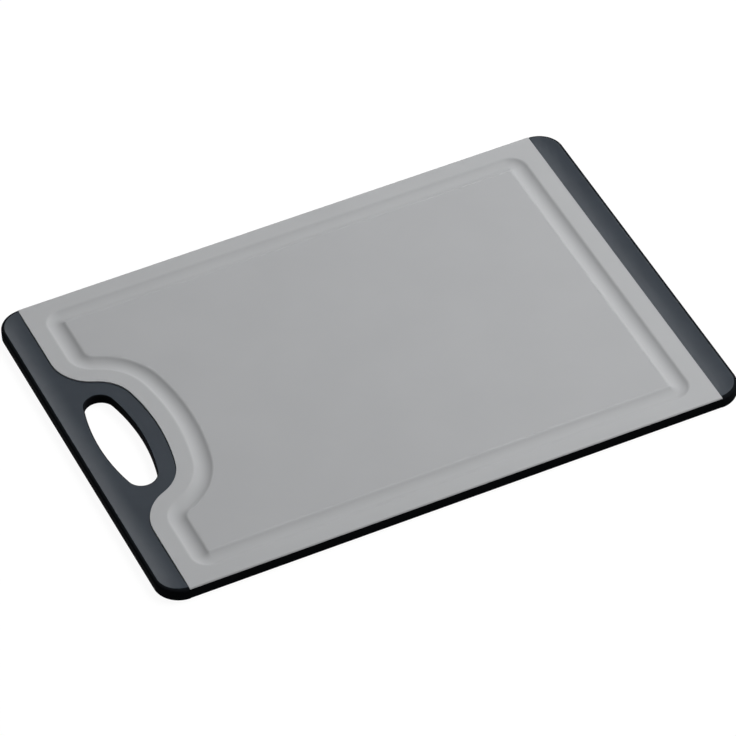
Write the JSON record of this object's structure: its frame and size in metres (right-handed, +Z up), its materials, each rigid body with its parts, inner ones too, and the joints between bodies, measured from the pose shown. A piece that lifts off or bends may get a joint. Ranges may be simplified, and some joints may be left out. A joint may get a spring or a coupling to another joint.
{
  "type": "cutting board",
  "caption": "Flat plastic kitchen cutting board with a juice groove round its panel, soft grips over both ends, an oval grip hole in one end and soft bands along its long edges.",
  "frame": {"origin": "middle of the board's outline, on the surface that it lies on", "axes": "+X along the board, away from the end with the grip hole; +Y across it; +Z up out of the cutting face"},
  "size_m": [0.36, 0.25, 0.008],
  "materials": {
    "panel_plastic": "light grey polypropylene, satin, with a fine moulded grain",
    "soft_rubber": "dark blue-grey thermoplastic rubber, matt"
  },
  "bodies": {
    "root": {"cutting_panel": "panel_plastic", "handle_grip": "soft_rubber", "end_grip": "soft_rubber", "front_edge_band": "soft_rubber", "rear_edge_band": "soft_rubber"}
  },
  "joints": []
}
